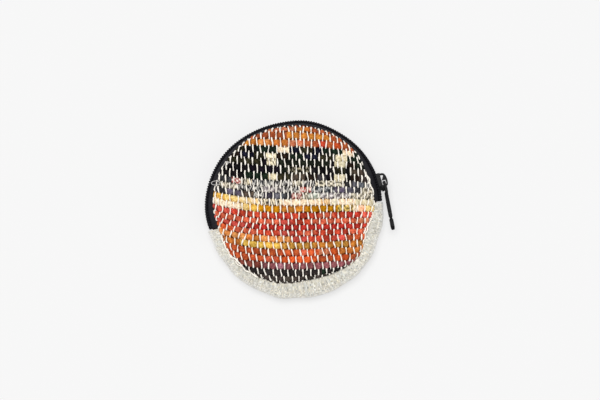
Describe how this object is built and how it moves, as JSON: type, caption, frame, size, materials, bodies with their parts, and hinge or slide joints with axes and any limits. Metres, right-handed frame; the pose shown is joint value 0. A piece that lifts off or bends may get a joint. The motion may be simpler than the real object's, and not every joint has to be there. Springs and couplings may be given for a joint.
{
  "type": "round coin purse",
  "caption": "Round flat coin purse of rag-woven cloth with a linen gusset, a black coil zip round the top and a swinging zip pull, lying on its back.",
  "frame": {"origin": "under the middle of the purse, on the flat outside of the back panel that it rests on", "axes": "+Z out of the front panel, +Y towards the middle of the zip, +X towards the zip's closed end"},
  "size_m": [0.106, 0.0991, 0.0207],
  "materials": {
    "rag_cloth": "thick rag weave in many colours with white cotton warp",
    "linen": "unbleached plain-weave linen",
    "zip_tape": "black woven zip tape",
    "zip_coil": "black nylon coil",
    "black_metal": "black enamelled zinc"
  },
  "bodies": {
    "purse": {"front_panel": "rag_cloth", "back_panel": "rag_cloth", "linen_gusset": "linen", "zip_tape_back": "zip_tape", "zip_tape_front": "zip_tape", "zip_chain": "zip_coil", "zip_slider": "black_metal"},
    "pull": {"zip_pull": "black_metal"}
  },
  "joints": [
    {"name": "pull_swing", "type": "hinge", "parent": "purse", "child": "pull", "pos_m": [0.05004, 0.01512, 0.00897], "axis": [0, 0, 1], "range_deg": [-2, 145]}
  ]
}
